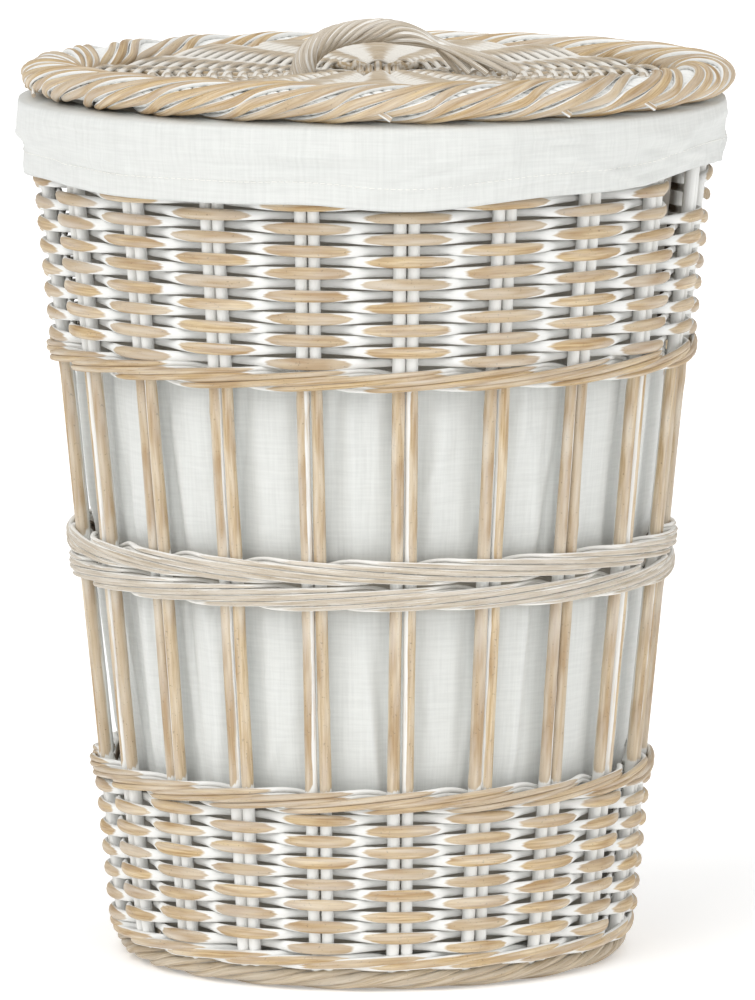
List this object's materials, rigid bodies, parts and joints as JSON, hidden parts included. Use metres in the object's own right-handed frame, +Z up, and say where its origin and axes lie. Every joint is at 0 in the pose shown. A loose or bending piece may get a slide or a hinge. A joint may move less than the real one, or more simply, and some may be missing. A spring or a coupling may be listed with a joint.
{
  "type": "laundry hamper",
  "caption": "Round, flared woven rattan laundry hamper with open stake zones, a removable cloth liner turned over the rim and a lift-off woven lid with a twisted handle.",
  "frame": {"origin": "centre of the foot ring, on the floor", "axes": "+Z up along the hamper's axis, -Y towards the front, +X to the right seen from the front"},
  "size_m": [0.4567, 0.455, 0.598],
  "materials": {
    "whitewashed_rattan": "rattan core with a thin white wash, satin",
    "rattan_stakes": "straight rattan rods with a thin white wash, satin",
    "grey_rattan": "split rattan with a grey-beige wash, matt",
    "natural_cotton": "plain-weave natural cotton"
  },
  "bodies": {
    "basket": {"base_sticks_lower": "rattan_stakes", "base_sticks_upper": "rattan_stakes", "base_weave": "whitewashed_rattan", "foot_border": "whitewashed_rattan", "bottom_wale": "whitewashed_rattan", "lower_weave": "whitewashed_rattan", "lower_top_wale": "whitewashed_rattan", "middle_wale_lower": "grey_rattan", "middle_wale_upper": "grey_rattan", "upper_bottom_wale": "whitewashed_rattan", "upper_weave": "whitewashed_rattan", "rim_border": "whitewashed_rattan", "stake_pair_01": "rattan_stakes", "stake_pair_02": "rattan_stakes", "stake_pair_03": "rattan_stakes", "stake_pair_04": "rattan_stakes", "stake_pair_05": "rattan_stakes", "stake_pair_06": "rattan_stakes", "stake_pair_07": "rattan_stakes", "stake_pair_08": "rattan_stakes", "stake_pair_09": "rattan_stakes", "stake_pair_10": "rattan_stakes", "stake_pair_11": "rattan_stakes", "stake_pair_12": "rattan_stakes", "stake_pair_13": "rattan_stakes", "stake_pair_14": "rattan_stakes", "stake_pair_15": "rattan_stakes", "stake_pair_16": "rattan_stakes", "stake_pair_17": "rattan_stakes", "stake_pair_18": "rattan_stakes", "stake_pair_19": "rattan_stakes", "stake_pair_20": "rattan_stakes", "stake_pair_21": "rattan_stakes"},
    "liner": {"liner_side": "natural_cotton", "liner_base": "natural_cotton", "liner_fold": "natural_cotton", "liner_cuff": "natural_cotton", "liner_hem": "natural_cotton"},
    "lid": {"lid_sticks_lower": "rattan_stakes", "lid_sticks_upper": "rattan_stakes", "lid_weave": "whitewashed_rattan", "lid_border": "whitewashed_rattan", "lid_handle": "grey_rattan"}
  },
  "joints": [
    {"name": "liner_lift", "type": "slide", "parent": "basket", "child": "liner", "axis": [0, 0, 1], "range_m": [0, 0.56]},
    {"name": "lid_lift", "type": "slide", "parent": "liner", "child": "lid", "axis": [0, 0, 1], "range_m": [0, 0.25]}
  ]
}
